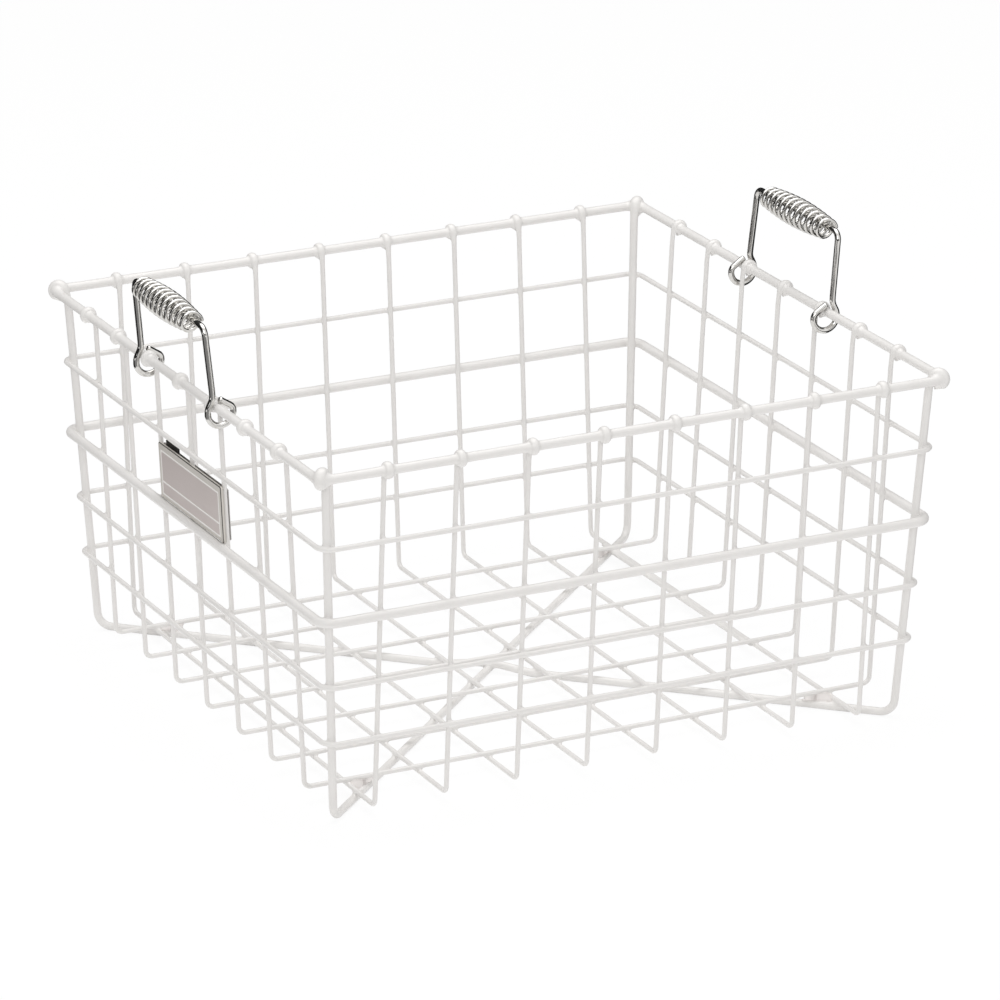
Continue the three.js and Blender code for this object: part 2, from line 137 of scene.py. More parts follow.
FINE_STEP = 0.0008  # along a wire near a weld or an end
COIL_STEP = 0.0009  # along the wire of a coil
PLAIN_STEP = 0.009  # along a straight wire
END_RUN = 1.6  # half widths from an end that keep the fine step
SIZE_STEP = 0.0002  # most change of half a width between two steps
ARC_TURN = math.radians(3)  # most turn between two points of a bend's line
BEND_TURN = math.radians(7)  # most turn between two steps of its mesh
HOOK_POINTS = 40
TURN_POINTS = 60  # for each turn of a coil
CORNER_POINTS = 7
FILM_STEPS = 10
WEB_STEPS = 6
COAT_SIDES = 20
STEEL_SIDES = 16
HALVINGS = 12  # of the range in which a coat's surface is searched
SEARCH_MARGIN = 0.004  # added to a weld's reach on the neighbour's side
SEARCH_BATCH = 400  # points searched at a time


# Paths

def bent(corners, closed=False):
    """Corners (point, radius) as a line that rounds each corner by its radius."""
    points = [np.array(point, float) for point, _ in corners]
    line = []
    for i, (_, radius) in enumerate(corners):
        at = points[i]
        if not radius:
            line.append(at)
            continue
        before = points[i - 1]
        after = points[(i + 1) % len(points)]
        inward = (at - before) / np.linalg.norm(at - before)
        outward = (after - at) / np.linalg.norm(after - at)
        turn = math.acos(np.clip(inward @ outward, -1, 1))
        to_centre = (outward - inward) / np.linalg.norm(outward - inward)
        centre = at + to_centre * radius / math.cos(turn / 2)
        start = (at - inward * radius * math.tan(turn / 2) - centre) / radius
        for angle in np.linspace(0, turn, max(3, math.ceil(turn / ARC_TURN))):
            line.append(centre + radius * (start * math.cos(angle) + inward * math.sin(angle)))
    if closed:
        line.append(line[0])
    return np.array(line)


class Wire:
    """A wire along a line: centre points, the frame at each, and half its width and thickness."""

    def __init__(self, line, wide, thick, side, closed=False, carried=False, step=FINE_STEP):
        """wide and thick are full sizes, one for the wire or one for each point of the line."""
        sizes = np.broadcast_to(wide, len(line)), np.broadcast_to(thick, len(line))
        along = np.concatenate([[0], np.cumsum(np.linalg.norm(np.diff(line, axis=0), axis=1))])
        self.length = along[-1]
        count = math.ceil(self.length / step)
        self.along = np.linspace(0, self.length, count + 1)
        if closed:
            self.along = self.along[:-1]
        self.closed = closed
        self.centre = np.stack([np.interp(self.along, along, line[:, k]) for k in range(3)], 1)
        self.half_wide = np.interp(self.along, along, sizes[0]) / 2
        self.half_thick = np.interp(self.along, along, sizes[1]) / 2
        self.tangent = self._tangents()
        self.side = self._sides(np.array(side, float), carried)
        self.across = np.cross(self.tangent, self.side)
        self.lowest = self.centre.min(0)
        self.highest = self.centre.max(0)

    def _tangents(self):
        if self.closed:
            steps = np.roll(self.centre, -1, 0) - np.roll(self.centre, 1, 0)
        else:
            steps = np.gradient(self.centre, axis=0)
        return steps / np.linalg.norm(steps, axis=1)[:, None]

    def _sides(self, first, carried):
        sides = []
        side = first
        for tangent in self.tangent:
            start = side if carried else first
            side = start - tangent * (start @ tangent)
            side = side / np.linalg.norm(side)
            sides.append(side)
        return np.array(sides)

    def skin(self, sides):
        """Outward directions and distances of the plain or flattened skin at every station."""
        angle = np.arange(sides) * 2 * math.pi / sides
        wide = self.half_wide[:, None, None] * np.cos(angle)[None, :, None]
        thick = self.half_thick[:, None, None] * np.sin(angle)[None, :, None]
        offset = self.side[:, None] * wide + self.across[:, None] * thick
        reach = np.linalg.norm(offset, axis=2)
        return offset / reach[..., None], reach

    def inside_of(self, other, margin):
        """Stations that lie in the other wire's box grown by a margin."""
        low = self.centre > other.lowest - margin
        high = self.centre < other.highest + margin
        return np.nonzero((low & high).all(1))[0]

    def thin(self, close):
        """Stations to keep: all close to a weld or an end, and enough for bends and runs."""
        keep = close.copy()
        if not self.closed:
            end = np.minimum(self.along, self.length - self.along)
            keep |= end < END_RUN * self.half_wide.max()
        sizes = np.stack([self.half_wide, self.half_thick], 1)
        last = 0
        keep[0] = keep[-1] = True
        for i in range(1, len(keep)):
            turned = self.tangent[i] @ self.tangent[last] < math.cos(BEND_TURN)
            changed = np.abs(sizes[i] - sizes[last]).max() > SIZE_STEP
            if keep[i] or turned or changed or self.along[i] - self.along[last] > PLAIN_STEP:
                keep[i] = True
                last = i
        return keep


# Coats that run together at the welds

def ellipse_distance(offset, side, across, half_wide, half_thick):
    """About how far points lie outside a wire's oval section, by their offsets to its centre."""
    u = (offset * side).sum(-1)
    v = (offset * across).sum(-1)
    near = np.sqrt((u / half_wide) ** 2 + (v / half_thick) ** 2)
    steep = np.sqrt((u / half_wide**2) ** 2 + (v / half_thick**2) ** 2)
    return near * (near - 1) / np.maximum(steep, 1e-9)


def smooth_least(a, b):
    blend = np.maximum(WEB - np.abs(a - b), 0) / WEB
    return np.minimum(a, b) - blend**2 * WEB / 4


class Weld:
    """The part of a wire's skin that is close to one neighbour."""

    def __init__(self, wire, direction, reach, neighbour):
        margin = wire.half_wide.max() + neighbour.half_wide.max() + WEB_MARGIN * WEB
        mine = wire.inside_of(neighbour, margin)
        theirs = neighbour.inside_of(wire, margin)
        self.stations = np.array([], int)
        if len(mine) == 0 or len(theirs) == 0:
            return
        gaps = np.linalg.norm(wire.centre[mine][:, None] - neighbour.centre[theirs][None], axis=2)
        self.stations = mine[gaps.min(1) < margin]
        if len(self.stations) == 0:
            return
        theirs = theirs[gaps.min(0) < margin + SEARCH_MARGIN]
        self.centre = wire.centre[self.stations][:, None]
        self.direction = direction[self.stations]
        points = self.centre + self.direction * reach[self.stations][..., None]
        flat = points.reshape(-1, 3)
        nearest = np.concatenate([
            np.linalg.norm(part[:, None] - neighbour.centre[theirs][None], axis=2).argmin(1)
            for part in np.array_split(flat, max(1, len(flat) // SEARCH_BATCH))
        ])
        index = theirs[nearest].reshape(points.shape[:2])
        self.hub = neighbour.centre[index]
        self.frame = (neighbour.side[index], neighbour.across[index],
                      neighbour.half_wide[index], neighbour.half_thick[index])

    def distance(self, reach):
        points = self.centre + self.direction * reach[self.stations][..., None]
        return ellipse_distance(points - self.hub, *self.frame)


def coated_reach(wire, neighbours, direction, reach):
    """How far the coat stands out at each point of the skin, and which stations are near a weld."""
    welds = [Weld(wire, direction, reach, other) for other in neighbours if other is not wire]
    welds = [weld for weld in welds if len(weld.stations)]
    low = reach.copy()
    high = reach + WEB_MOST
    for _ in range(HALVINGS):
        middle = (low + high) / 2
        own = middle - reach
        outside = own.copy()
        for weld in welds:
            theirs = weld.distance(middle)
            mine = own[weld.stations]
            joined = smooth_least(outside[weld.stations], theirs)
            outside[weld.stations] = joined + UNDERCUT * np.maximum(mine - theirs, 0)
        inside = outside < 0
        low = np.where(inside, middle, low)
        high = np.where(inside, high, middle)
    close = np.zeros(len(reach), bool)
    for weld in welds:
        close[weld.stations] = True
    plain = ~close
    low[plain] = reach[plain]
    return low, close


def uneven(wire, amount, seed):
    """Slow swelling and thinning of a dipped coat along a wire."""
    count = wire.length / COAT_WAVE
    if wire.closed:
        count = round(count)
    turns = wire.along / wire.length * count * 2 * math.pi
    second = 0.6  # height of a finer wave beside the first
    waves = np.sin(turns + seed) + second * np.sin(2 * turns + 2.1 * seed)
    return 1 + amount * waves / (1 + second)


def rounded_end(wire, round_over):
    """Shrinking of the skin towards both ends, for round or cut wire ends."""
    if wire.closed:
        return np.ones(len(wire.along))
    end = np.minimum(wire.along, wire.length - wire.along)
    left = np.clip(1 - end / round_over, 0, 1)
    return np.sqrt(np.maximum(1 - left**2, 0))


def solid(name, points, faces, finish, smooth=True):
    mesh = bpy.data.meshes.new(name)
    mesh.from_pydata(np.asarray(points).tolist(), [], faces)
    if smooth:
        mesh.shade_smooth()
    mesh.materials.append(finish)
    piece = bpy.data.objects.new(name, mesh)
    bpy.context.scene.collection.objects.link(piece)
    return piece


def skinned(rings, sides, closed):
    """Faces between rings of points, with both ends capped unless the rings close on themselves."""
    faces = []
    for i in range(rings if closed else rings - 1):
        near = i * sides
        far = (i + 1) % rings * sides
        for k in range(sides):
            following = (k + 1) % sides
            faces.append((near + k, near + following, far + following, far + k))
    if not closed:
        faces.append(tuple(range(sides - 1, -1, -1)))
        faces.append(tuple(range((rings - 1) * sides, rings * sides)))
    return faces


def tube(name, wire, direction, reach, keep, finish):
    """A mesh of the wire's skin at the stations that are kept."""
    rows = np.nonzero(keep)[0]
    sides = direction.shape[1]
    points = wire.centre[rows][:, None] + direction[rows] * reach[rows][..., None]
    return solid(name, points.reshape(-1, 3), skinned(len(rows), sides, wire.closed), finish)


def dress(piece, body, node):
    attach(piece, body)
    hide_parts(node)


# Wire routes

def loop_size(node):
    low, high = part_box(node)
    radius = (high.z - low.z) / 2
    return high.x - radius, high.y - radius, (low.z + high.z) / 2, radius


RIM_X, RIM_Y, RIM_Z, RIM_RADIUS = loop_size("rim_wire")
TOP_X, TOP_Y, TOP_Z, RING_RADIUS = loop_size("ring_wire_top")
LOW_X, LOW_Y, LOW_Z, _ = loop_size("ring_wire_low")
doubler_low, doubler_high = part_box("floor_doubler_wire")
WIRE_RADIUS = (doubler_high.x - doubler_low.x) / 2
LEAN_X = (TOP_X - LOW_X) / (TOP_Z - LOW_Z)
LEAN_Y = (TOP_Y - LOW_Y) / (TOP_Z - LOW_Z)
RING_SEAT = RING_RADIUS + WELD_GAP + WIRE_RADIUS


def wall_x(z):
    return TOP_X - RING_SEAT + LEAN_X * (z - TOP_Z)


def wall_y(z):
    return TOP_Y - RING_SEAT + LEAN_Y * (z - TOP_Z)


def loop(node):
    half_x, half_y, z, radius = loop_size(node)
    touch = CORNER_WIRE / 2 + WELD_GAP + radius
    inset = half_x - wall_x(z) + CORNER_INSET
    bend = (inset - touch * math.sqrt(0.5)) / (1 - math.sqrt(0.5))
    signs = [(-1, -1), (1, -1), (1, 1), (-1, 1)]
    corners = [((sx * half_x, sy * half_y, z), bend) for sx, sy in signs]
    return Wire(bent(corners, True), 2 * radius, 2 * radius, (0, 0, 1), closed=True)


def pooled(wire, places, extra, run):
    """Swell a wire where the coat has pooled under the hooks that sit on it."""
    for place in places:
        far = np.linalg.norm(wire.centre - place, axis=1)
        swell = extra * np.exp(-((far / run) ** 2))
        wire.half_wide = wire.half_wide + swell
        wire.half_thick = wire.half_thick + swell


def curl(thickness):
    """A curled end in the plane of its wire: outward and upward from the rim's centre."""
    reach = RIM_RADIUS + WELD_GAP + thickness / 2
    angles = np.linspace(HOOK_END, HOOK_START, HOOK_POINTS)
    return np.stack([reach * np.cos(angles), reach * np.sin(angles)], 1)


def basket_wire(node, along_x):
    low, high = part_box(node)
    offset = (low.y + high.y) / 2 if along_x else (low.x + high.x) / 2
    rim_at, wall = (RIM_X, wall_x) if along_x else (RIM_Y, wall_y)
    floor = low.z + WIRE_RADIUS
    hook = curl(HOOK_THICKNESS) + (rim_at, RIM_Z)
    shoulder = RIM_Z - HOOK_NECK
    below = shoulder - NECK_RUN
    drop = np.array([[wall(shoulder), shoulder], [wall(below), below]])
    end = np.concatenate([hook, drop])
    full = 2 * WIRE_RADIUS
    wide = np.concatenate([np.full(len(hook), HOOK_WIDTH), [full, full]])
    thick = np.concatenate([np.full(len(hook), HOOK_THICKNESS), [full, full]])
    bends = bent([
        ((wall(shoulder), 0, shoulder), 0),
        ((wall(floor), 0, floor), FLOOR_BEND),
        ((-wall(floor), 0, floor), FLOOR_BEND),
        ((-wall(shoulder), 0, shoulder), 0),
    ])[1:-1]
    run = np.concatenate([end, bends[:, [0, 2]], (end * (-1, 1))[::-1]])
    plain = np.full(len(bends), full)
    wide = np.concatenate([wide, plain, wide[::-1]])
    thick = np.concatenate([thick, plain, thick[::-1]])
    line = np.full((len(run), 3), offset)
    line[:, 0 if along_x else 1] = run[:, 0]
    line[:, 2] = run[:, 1]
    return Wire(line, wide, thick, (0, 1, 0) if along_x else (1, 0, 0))


def corner_frame(node, across, rise):
    """Down one corner, over the floor and up the far corner, with both ends curled over the rim."""
    low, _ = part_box(node)
    floor = low.z + CORNER_WIRE / 2

    def corner(z):
        return np.array([wall_x(z) - CORNER_INSET, across * (wall_y(z) - CORNER_INSET), z])

    out = np.array([1, across, 0]) / math.sqrt(2)
    rim_centre = corner(RIM_Z) + out * (CORNER_WIRE / 2 + WELD_GAP + RIM_RADIUS)
    cap = curl(CAP_THICKNESS)
    hook = rim_centre + cap[:, :1] * out + cap[:, 1:] * np.array([0, 0, 1])
    shoulder = RIM_Z - HOOK_NECK
    end = np.concatenate([hook, [corner(shoulder), corner(shoulder - NECK_RUN)]])
    wide = np.concatenate([np.full(len(hook), CAP_WIDTH), [CORNER_WIRE] * 2])
    thick = np.concatenate([np.full(len(hook), CAP_THICKNESS), [CORNER_WIRE] * 2])
    turned = np.array([-1, -1, 1])
    foot = corner(floor)
    lap = []
    if rise:
        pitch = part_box("cross_wire_2")[0].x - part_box("cross_wire_1")[0].x
        reach = pitch / 2 - 2 * WIRE_RADIUS
        steps = [(reach, 0), (CORNER_WIRE, rise), (-CORNER_WIRE, rise), (-reach, 0)]
        lap = [((x, x * foot[1] / foot[0], floor + up), LAP_BEND) for x, up in steps]
    bends = bent([
        (corner(shoulder), 0), (foot, CORNER_BEND), *lap,
        (foot * turned, CORNER_BEND), (corner(shoulder) * turned, 0),
    ])[1:-1]
    line = np.concatenate([end, bends, (end * turned)[::-1]])
    plain = np.full(len(bends), CORNER_WIRE)
    side = (-foot[1], foot[0], 0)
    return Wire(line, np.concatenate([wide, plain, wide[::-1]]),
                np.concatenate([thick, plain, thick[::-1]]), side)


def doubler():
    low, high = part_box("floor_doubler_wire")
    x = (low.x + high.x) / 2
    z = (low.z + high.z) / 2
    ends = np.array([(x, low.y, z), (x, high.y, z)])
    return Wire(ends, 2 * WIRE_RADIUS, 2 * WIRE_RADIUS, (1, 0, 0))


def bail(node):
    """One bent wire: from the cut end of one eye over the cross bar to the cut end of the other."""
    low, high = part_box(node)
    sign = 1 if low.x > 0 else -1
    back, front = high.y - BAIL_WIRE / 2, low.y + BAIL_WIRE / 2
    eye_bend = (EYE_OUTER_REACH + EYE_INNER_REACH) / 2
    drop = EYE_SHOULDER_DROP + EYE_SIDE + eye_bend
    seat = RIM_RADIUS + EYE_GAP + BAIL_WIRE / 2
    shoulder = math.hypot(EYE_INNER_REACH, EYE_SHOULDER_DROP)
    tail = math.atan2(EYE_SHOULDER_DROP, EYE_INNER_REACH) + math.asin(seat / shoulder)

    tail_out = EYE_TAIL * math.cos(tail) - EYE_INNER_REACH
    tail_up = EYE_TAIL * math.sin(tail) - EYE_SHOULDER_DROP

    def half(y, bar_end):
        route = [
            (tail_out, y, tail_up, 0),
            (-EYE_INNER_REACH, y, -EYE_SHOULDER_DROP, EYE_SHOULDER_BEND),
            (-EYE_INNER_REACH, y, -drop, eye_bend),
            (EYE_OUTER_REACH, y, -drop, eye_bend),
            (EYE_OUTER_REACH, y, 0, NECK_BEND),
            (NECK_OUT, y, NECK_HEIGHT, NECK_BEND),
            (BAR_OUT, bar_end, BAR_HEIGHT, BAIL_CORNER),
        ]
        return [
            ((sign * (RIM_X + out), across, RIM_Z + up), bend) for out, across, up, bend in route
        ]

    line = bent(half(back, back - LEG_SPLAY) + half(front, front + LEG_SPLAY)[::-1])
    return Wire(line, BAIL_WIRE, BAIL_WIRE, (0, 1, 0), carried=True)


def grip_axis(node):
    turn = node.replace("coil_grip", "grip") + "_turn"
    place = next(joint["pos_m"] for joint in frame["joints"] if joint["name"] == turn)
    return place[0], place[2]


def coil(node):
    """A barrel-shaped spring about its cross bar."""
    low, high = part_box(node)
    axis_x, axis_z = grip_axis(node)
    middle = (low.y + high.y) / 2
    length = high.y - low.y - COIL_WIRE
    steps = COIL_TURNS * TURN_POINTS
    along = np.linspace(0, 1, steps + 1)
    end_radius = (COIL_END_DIAMETER - COIL_WIRE) / 2
    swell = (COIL_MIDDLE_DIAMETER - COIL_END_DIAMETER) / 2
    radius = end_radius + swell * np.sin(math.pi * along)
    angle = along * COIL_TURNS * 2 * math.pi
    line = np.stack([
        axis_x + radius * np.cos(angle),
        middle + (along - 0.5) * length,
        axis_z + radius * np.sin(angle),
    ], 1)
    return Wire(line, COIL_WIRE, COIL_WIRE, (0, 1, 0), carried=True, step=COIL_STEP)


def thickened(middle, rise, sheet, edge):
    """Points and faces of a sheet that stands out by `rise` on either side of its middle points."""
    count = len(middle)
    faces = sheet + [tuple(count + k for k in face[::-1]) for face in sheet]
    for k, point in enumerate(edge):
        following = edge[(k + 1) % len(edge)]
        faces.append((following, point, count + point, count + following))
    return np.concatenate([middle + rise, middle - rise]), faces


def web(crossing, upper_way, lower_way, high, low):
    """Coat that hangs between two wires, one above the other, at and past their crossing."""
    way = upper_way + lower_way
    side = np.array([-way[1], way[0], 0]) / np.linalg.norm(way)
    middle = []
    for share in np.linspace(0, 1, WEB_STEPS + 1):
        reach = WEB_REACH * (1 - WEB_HOLLOW * math.sin(math.pi * share))
        for run in np.linspace(-WEB_BACK, reach - WEB_BACK, WEB_STEPS + 1):
            place = crossing + run * (share * upper_way + (1 - share) * lower_way)
            middle.append((*place, low + share * (high - low)))
    number = np.arange(len(middle)).reshape(WEB_STEPS + 1, WEB_STEPS + 1)
    sheet = [
        (number[i, j], number[i + 1, j], number[i + 1, j + 1], number[i, j + 1])
        for i in range(WEB_STEPS) for j in range(WEB_STEPS)
    ]
    edge = [*number[:-1, 0], *number[-1, :-1], *number[:0:-1, -1], *number[0, :0:-1]]
    return thickened(np.array(middle), side * FILM / 2, sheet, edge)


def triangle(steps):
    """A triangle cut into small ones: its points as shares of the corners, its faces, its edge."""
    places = [(i, j) for i in range(steps + 1) for j in range(steps + 1 - i)]
    number = {place: k for k, place in enumerate(places)}
    shares = np.array([(1 - (i + j) / steps, i / steps, j / steps) for i, j in places])
    sheet = []
    for i, j in places:
        if i + j < steps:
            sheet.append((number[i, j], number[i + 1, j], number[i, j + 1]))
        if i + j < steps - 1:
            sheet.append((number[i + 1, j], number[i + 1, j + 1], number[i, j + 1]))
    edge = [number[k, 0] for k in range(steps)]
    edge += [number[steps - k, k] for k in range(steps)]
    edge += [number[0, steps - k] for k in range(steps)]
    return shares, sheet, edge


def film(sign_x, sign_y):
    """Coat that spans the small triangle between a corner wire, a cross wire and a long wire."""
    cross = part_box("cross_wire_8" if sign_x > 0 else "cross_wire_1")
    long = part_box("long_wire_7" if sign_y > 0 else "long_wire_1")
    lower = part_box("corner_frame_lower")
    floor = lower[0].z + CORNER_WIRE / 2
    slope = (wall_y(floor) - CORNER_INSET) / (wall_x(floor) - CORNER_INSET)
    cross_x = (cross[0].x + cross[1].x) / 2
    long_y = (long[0].y + long[1].y) / 2
    # Heights of the corner, long and cross wire, each along the side opposite the corner of its number
    levels = np.array([floor, long[0].z + WIRE_RADIUS, cross[0].z + WIRE_RADIUS]) + FILM_LIFT
    corners = np.array([
        (cross_x, long_y),
        (cross_x, sign_x * sign_y * cross_x * slope),
        (sign_x * sign_y * long_y / slope, long_y),
    ])
    shares, sheet, edge = triangle(FILM_STEPS)
    pull = 1 / (shares + FILM_DRAPE) ** 2
    height = (pull * levels).sum(1) / pull.sum(1)
    middle = np.column_stack([shares @ corners, height])
    rise = np.array([0, 0, FILM / 2])
    points, faces = thickened(middle, rise, sheet, edge)
    if sign_x * sign_y < 0:
        faces = [face[::-1] for face in faces]
    ways = corners[2] - corners[:2]
    ways = ways / np.linalg.norm(ways, axis=1)[:, None]
    web_points, web_faces = web(corners[2], *ways, levels[1], levels[0])
    faces += [tuple(len(points) + k for k in face) for face in web_faces]
    return np.concatenate([points, web_points]), faces


# Nameplate sizes

front_low, front_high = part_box("nameplate_front")
LEAN = math.atan(LEAN_X)
PLATE_HALF = (front_high.y - front_low.y) / 2
PLATE_TALL = (front_high.z - front_low.z - FRONT_PLATE * math.sin(LEAN)) / math.cos(LEAN)
FRAME_SIDE = PLATE_HALF - FRAME_SIDE_MARGIN
FRAME_FOOT = FRAME_FOOT_MARGIN - PLATE_TALL / 2
FRAME_HEAD = PLATE_TALL / 2 - FRAME_HEAD_MARGIN


# Finishes

class Value:
    """A socket among nodes. Arithmetic on it adds Math nodes."""

    def __init__(self, nodes, socket):
        self.nodes = nodes
        self.socket = socket

    def _math(self, operation, first, second):
        return self.nodes.node("ShaderNodeMath", {"operation": operation}, {0: first, 1: second})

    def __add__(self, other):
        return self._math("ADD", self, other)

    __radd__ = __add__

    def __sub__(self, other):
        return self._math("SUBTRACT", self, other)

    def __rsub__(self, other):
        return self._math("SUBTRACT", other, self)

    def __mul__(self, other):
        return self._math("MULTIPLY", self, other)

    __rmul__ = __mul__


class Nodes:
    """A node tree and the one way in which nodes are added to it."""

    def __init__(self, tree):
        self.tree = tree

    def set(self, socket, value):
        if isinstance(value, Value):
            self.tree.links.new(value.socket, socket)
        else:
            socket.default_value = value

    def node(self, kind, settings=None, sockets=None, output=0):
        """A node of a kind, with its settings, then its sockets' values or links."""
        made = self.tree.nodes.new(kind)
        for name, value in (settings or {}).items():
            setattr(made, name, value)
        for name, value in (sockets or {}).items():
            self.set(made.inputs[name], value)
        return Value(self, made.outputs[output])


class Finish(Nodes):
    """A material of nodes about one Principled shader."""

    def __init__(self, name, **shader):
        self.material = bpy.data.materials.new(name)
        self.material.use_nodes = True
        super().__init__(self.material.node_tree)
        self.shader = self.tree.nodes["Principled BSDF"]
        self.link(**shader)

    def place(self, stretch=(1, 1, 1)):
        """The place on the object, stretched along its axes."""
        where = self.node("ShaderNodeTexCoord", output="Object")
        return self.node("ShaderNodeVectorMath", {"operation": "MULTIPLY"}, {0: where, 1: stretch})

    def noise(self, scale, detail=2, stretch=(1, 1, 1)):
        return self.node("ShaderNodeTexNoise", sockets={
            "Vector": self.place(stretch), "Scale": scale, "Detail": detail})

    def within(self, value, most):
        size = self.node("ShaderNodeMath", {"operation": "ABSOLUTE"}, {0: value})
        return self.node("ShaderNodeMath", {"operation": "LESS_THAN"}, {0: size, 1: most})

    def mix(self, share, first, second):
        return self.node("ShaderNodeMix", {"data_type": "RGBA"},
                         {0: share, 6: first, 7: second}, output=2)

    def bump(self, height, distance, strength=1):
        return self.node("ShaderNodeBump", sockets={
            "Height": height, "Distance": distance, "Strength": strength})

    def link(self, **shader):
        for socket, value in shader.items():
            self.set(self.shader.inputs[socket.replace("_", " ")], value)

    def blend(self, share, other):
        """Show a share of another shader in place of the Principled one."""
        mixed = self.node("ShaderNodeMixShader", sockets={
            0: share, 1: Value(self, self.shader.outputs[0]), 2: other})
        self.set(self.tree.nodes["Material Output"].inputs["Surface"], mixed)


def plastic_coat():
    finish = Finish("plastic_coat", IOR=1.5, Coat_Weight=0.2, Coat_Roughness=0.25)
    cloud = finish.noise(scale=38, detail=3)
    peel = finish.noise(scale=420, detail=2)
    speck = finish.noise(scale=1500, detail=1)
    finish.link(
        Base_Color=finish.mix(cloud, (0.80, 0.785, 0.77, 1), (0.74, 0.722, 0.702, 1)),
        Roughness=0.30 + 0.16 * peel,
        Normal=finish.bump(peel + 0.25 * speck, distance=0.00012, strength=0.6),
    )
    return finish.material


def thin_coat_painted_light():
    """Coating run into a film between wires, which some light passes through. Its colour is painted
    paler than the coat's: painted light that offsets the shade between the wires.
    """
    finish = Finish("thin_coat_painted_light", IOR=1.5)
    cloud = finish.noise(scale=38, detail=3)
    peel = finish.noise(scale=420, detail=2)
    finish.link(
        # painted light: a paler base colour than the coat's, to offset the shade between the wires
        Base_Color=finish.mix(cloud, (0.95, 0.925, 0.915, 1), (0.91, 0.885, 0.875, 1)),
        Roughness=0.30 + 0.16 * peel,
        Normal=finish.bump(peel, distance=0.00012, strength=0.6),
    )
    through = finish.node("ShaderNodeBsdfTranslucent", sockets={"Color": (0.95, 0.93, 0.92, 1)})
    finish.blend(share=0.65, other=through)
    return finish.material


def bright_wire():
    finish = Finish("bright_wire", Metallic=1)
    draw = finish.noise(scale=900, detail=2, stretch=(1, 0.08, 0.08))
    cloud = finish.noise(scale=60, detail=2)
    finish.link(
        Base_Color=finish.mix(cloud, (0.75, 0.737, 0.712, 1), (0.64, 0.627, 0.603, 1)),
        Roughness=0.05 + 0.06 * draw,
        Normal=finish.bump(draw, distance=0.00004, strength=0.4),
    )
    return finish.material


def satin_sheet():
    finish = Finish("satin_sheet", Metallic=1)
    brush = finish.noise(scale=700, detail=3, stretch=(1, 0.03, 1))
    cloud = finish.noise(scale=30, detail=2)
    finish.link(
        Base_Color=finish.mix(cloud, (0.50, 0.48, 0.465, 1), (0.43, 0.412, 0.40, 1)),
        Roughness=0.34 + 0.14 * brush,
        Normal=finish.bump(brush, distance=0.00003, strength=0.5),
    )
    return finish.material


def panel_sheet():
    """Satin sheet whose framed field is a little darker and warmer than its margin."""
    finish = Finish("panel_sheet", Metallic=0.3)
    brush = finish.noise(scale=700, detail=3, stretch=(1, 0.03, 1))
    cloud = finish.noise(scale=30, detail=2)
    across = finish.node("ShaderNodeSeparateXYZ", sockets={0: finish.place()}, output=1)
    height = finish.node("ShaderNodeSeparateXYZ", sockets={0: finish.place()}, output=2)
    middle = (front_low.z + front_high.z + FRAME_FOOT + FRAME_HEAD) / 2
    centre = (front_low.y + front_high.y) / 2
    inside = finish.within(across - centre, FRAME_SIDE)
    inside = inside * finish.within(height - middle, (FRAME_HEAD - FRAME_FOOT) / 2)
    margin = finish.mix(cloud, (0.66, 0.63, 0.585, 1), (0.62, 0.59, 0.545, 1))
    field = finish.mix(cloud, (0.61, 0.545, 0.525, 1), (0.57, 0.51, 0.49, 1))
    finish.link(
        Base_Color=finish.mix(inside, margin, field),
        Roughness=0.36 + 0.14 * brush,
        Normal=finish.bump(brush, distance=0.00003, strength=0.5),
    )
    return finish.material


def etched_line():
    finish = Finish("etched_line", Metallic=0.05)
    grain = finish.noise(scale=2500, detail=2)
    finish.link(
        Base_Color=finish.mix(grain, (0.86, 0.845, 0.82, 1), (0.78, 0.765, 0.745, 1)),
        Roughness=0.42 + 0.15 * grain,
    )
    return finish.material


# Painted shade: a near-black colour on the front plate's broken edge, standing in for the shade along
# that edge
def painted_shade_edge():
    finish = Finish("painted_shade_edge", Metallic=0.7)
    grain = finish.noise(scale=1200, detail=2)
    finish.link(
        Base_Color=finish.mix(grain, (0.10, 0.094, 0.088, 1), (0.17, 0.16, 0.15, 1)),
        Roughness=0.4 + 0.15 * grain,
    )
    return finish.material


def black_strip():
    finish = Finish("black_strip", Metallic=0.5)
    grain = finish.noise(scale=900, detail=3)
    finish.link(
        Base_Color=finish.mix(grain, (0.018, 0.016, 0.014, 1), (0.034, 0.031, 0.028, 1)),
        Roughness=0.34 + 0.2 * grain,
    )
    return finish.material


COAT = plastic_coat()
# painted light: the film's coat is painted paler than the wires' coat, to offset the shade between
# them
FILM_PAINTED_LIGHT = thin_coat_painted_light()
BRIGHT = bright_wire()
SATIN = satin_sheet()
ETCHED = etched_line()
EDGE_PAINTED_SHADE = painted_shade_edge()
PANEL = panel_sheet()
BLACK = black_strip()


# Basket

coated = {"rim_wire": loop("rim_wire")}
for ring in ("top", "belt", "third", "low"):
    coated[f"ring_wire_{ring}"] = loop(f"ring_wire_{ring}")
for node in sorted(frame["nodes"]):
    if node.startswith("long_wire"):
        coated[node] = basket_wire(node, along_x=True)
    if node.startswith("cross_wire"):
        coated[node] = basket_wire(node, along_x=False)
coated["floor_doubler_wire"] = doubler()
LAP_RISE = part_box("long_wire_1")[0].z - WELD_GAP - CORNER_WIRE
coated["corner_frame_lower"] = corner_frame("corner_frame_lower", 1, 0)
coated["corner_frame_upper"] = corner_frame("corner_frame_upper", -1, LAP_RISE)

